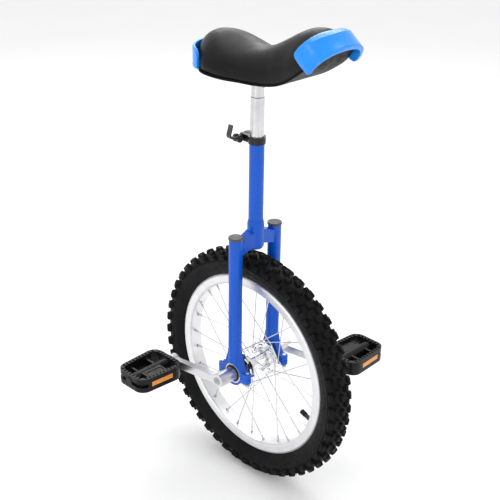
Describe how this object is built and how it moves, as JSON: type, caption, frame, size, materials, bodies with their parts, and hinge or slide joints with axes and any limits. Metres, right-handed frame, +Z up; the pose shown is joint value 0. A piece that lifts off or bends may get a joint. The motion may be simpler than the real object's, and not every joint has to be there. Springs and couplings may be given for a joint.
{
  "type": "unicycle",
  "caption": "Unicycle with a spoked wheel, direct cranks and flat pedals, two-legged frame, quick-release seat post and a curved saddle with bumpers.",
  "frame": {"origin": "on the ground under the middle of the axle, where the tyre stands", "axes": "+X forward (raised nose and larger bumper of the saddle), +Y the rider's left, +Z up; the wheel turns about Y"},
  "size_m": [0.4698, 0.433, 0.9205],
  "materials": {
    "frame_blue": "gloss paint",
    "tyre_black": "moulded rubber",
    "tube_black": "smooth butyl",
    "rim_silver": "satin silver",
    "tape_cloth": "woven tape",
    "spoke_steel": "bright drawn wire",
    "hub_chrome": "polished",
    "bearing_steel": "ground",
    "seal_rubber": "moulded",
    "washer_brass": "plated",
    "crank_silver": "satin, polished boss",
    "fastener_steel": "zinc plated",
    "cap_grey": "moulded",
    "plug_grey": "moulded",
    "pedal_black": "moulded, fine texture",
    "bush_plastic": "moulded",
    "reflector_amber": "prismatic reflector",
    "clamp_black": "satin",
    "lever_grey": "tumbled",
    "post_silver": "bright, fluted",
    "base_black": "moulded",
    "saddle_black": "smooth soft vinyl",
    "bumper_blue": "gloss"
  },
  "bodies": {
    "frame": {"seat_tube": "frame_blue", "fork_crown": "frame_blue", "right_fork_leg": "frame_blue", "left_fork_leg": "frame_blue", "right_bearing_holder": "frame_blue", "left_bearing_holder": "frame_blue", "right_holder_cap": "frame_blue", "left_holder_cap": "frame_blue", "holder_bolts": "fastener_steel", "leg_plugs": "plug_grey", "bearing_outer_rings": "bearing_steel", "bearing_seals": "seal_rubber", "clamp_collar": "clamp_black", "clamp_skewer": "fastener_steel", "clamp_washer": "clamp_black", "clamp_lever_pin": "fastener_steel"},
    "wheel": {"tyre": "tyre_black", "inner_tube": "tube_black", "rim": "rim_silver", "rim_tape": "tape_cloth", "valve_stem": "tube_black", "spokes": "spoke_steel", "nipples": "spoke_steel", "hub_shell": "hub_chrome", "axle": "bearing_steel", "bearing_inner_rings": "bearing_steel", "hub_spacers": "bearing_steel", "crank_washers": "washer_brass", "right_crank": "crank_silver", "left_crank": "crank_silver", "crank_bolts": "fastener_steel", "crank_dust_caps": "cap_grey", "right_pedal_spindle": "bearing_steel", "left_pedal_spindle": "bearing_steel"},
    "valve_cap": {"valve_cap": "pedal_black"},
    "right_balls": {"right_bearing_balls": "bearing_steel", "right_bearing_cage": "washer_brass"},
    "left_balls": {"left_bearing_balls": "bearing_steel", "left_bearing_cage": "washer_brass"},
    "right_pedal": {"right_pedal_cage": "pedal_black", "right_pedal_bushes": "bush_plastic", "right_pedal_end_cap": "pedal_black", "right_pedal_reflectors": "reflector_amber"},
    "left_pedal": {"left_pedal_cage": "pedal_black", "left_pedal_bushes": "bush_plastic", "left_pedal_end_cap": "pedal_black", "left_pedal_reflectors": "reflector_amber"},
    "saddle": {"seat_post": "post_silver", "post_plate": "clamp_black", "saddle_base": "base_black", "saddle_cushion": "saddle_black", "front_bumper": "bumper_blue", "rear_bumper": "bumper_blue", "saddle_bolts": "fastener_steel"},
    "clamp_lever": {"clamp_lever": "lever_grey"},
    "clamp_nut": {"clamp_nut": "clamp_black"}
  },
  "joints": [
    {"name": "wheel_spin", "type": "hinge", "parent": "frame", "child": "wheel", "pos_m": [0, 0, 0.235], "axis": [0, 1, 0], "continuous": true},
    {"name": "right_balls_roll", "type": "hinge", "parent": "frame", "child": "right_balls", "pos_m": [0, -0.05, 0.235], "axis": [0, 1, 0], "continuous": true},
    {"name": "left_balls_roll", "type": "hinge", "parent": "frame", "child": "left_balls", "pos_m": [0, 0.05, 0.235], "axis": [0, 1, 0], "continuous": true},
    {"name": "right_pedal_spin", "type": "hinge", "parent": "wheel", "child": "right_pedal", "pos_m": [-0.114, -0.165, 0.235], "axis": [0, 1, 0], "continuous": true},
    {"name": "left_pedal_spin", "type": "hinge", "parent": "wheel", "child": "left_pedal", "pos_m": [0.114, 0.165, 0.235], "axis": [0, 1, 0], "continuous": true},
    {"name": "seat_height", "type": "slide", "parent": "frame", "child": "saddle", "axis": [0, 0, 1], "range_m": [-0.075, 0.06]},
    {"name": "clamp_lever_flip", "type": "hinge", "parent": "frame", "child": "clamp_lever", "pos_m": [-0.028, -0.0196, 0.69], "axis": [1, 0, 0], "range_deg": [0, 130]},
    {"name": "clamp_nut_turn", "type": "hinge", "parent": "frame", "child": "clamp_nut", "pos_m": [-0.028, 0.015, 0.69], "axis": [0, 1, 0], "continuous": true},
    {"name": "valve_cap_off", "type": "slide", "parent": "wheel", "child": "valve_cap", "axis": [-0.9342, 0, 0.3567], "range_m": [0, 0.02]}
  ],
  "couplings": [
    {"joint": "right_balls_roll", "follows": "wheel_spin", "ratio": 0.3842},
    {"joint": "left_balls_roll", "follows": "wheel_spin", "ratio": 0.3842}
  ]
}
